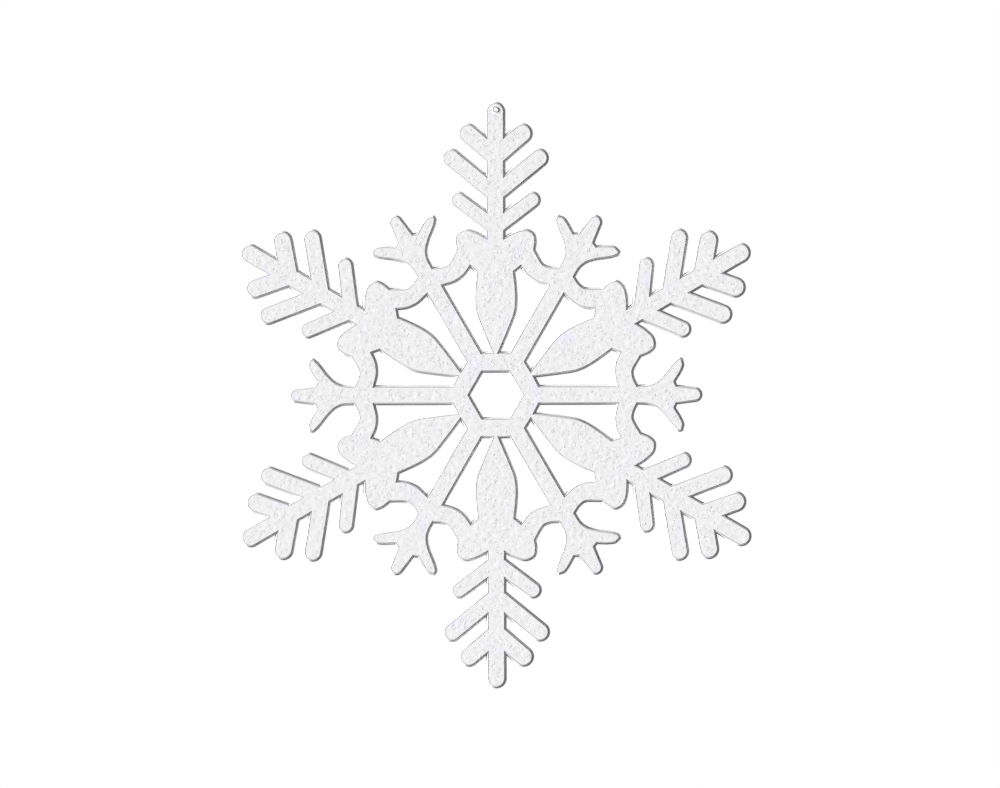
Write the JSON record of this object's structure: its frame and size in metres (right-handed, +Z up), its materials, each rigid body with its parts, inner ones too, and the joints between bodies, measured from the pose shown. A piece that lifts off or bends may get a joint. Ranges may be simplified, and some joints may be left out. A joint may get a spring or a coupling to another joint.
{
  "type": "paper snowflake star",
  "caption": "Flat six-armed snowflake cut from faced board with a white glitter finish, hung by an eyelet in one arm tip.",
  "frame": {"origin": "middle of the hanging eyelet's bore, at the middle of the board's thickness", "axes": "+Z up along the top arm, -Y out of the front face, +X to the right seen from the front"},
  "size_m": [0.263, 0.004, 0.3024],
  "materials": {
    "pulp_board": "uncoated pale pulp board with a sloping die-cut edge",
    "face_paper": "matt white paper",
    "glitter": "fine white and silver glitter flakes in a clear binder",
    "eyelet_metal": "bright rolled aluminium"
  },
  "bodies": {
    "root": {"core_board": "pulp_board", "front_face_paper": "face_paper", "back_face_paper": "face_paper", "front_glitter_coat": "glitter", "back_glitter_coat": "glitter", "hang_eyelet": "eyelet_metal"}
  },
  "joints": []
}
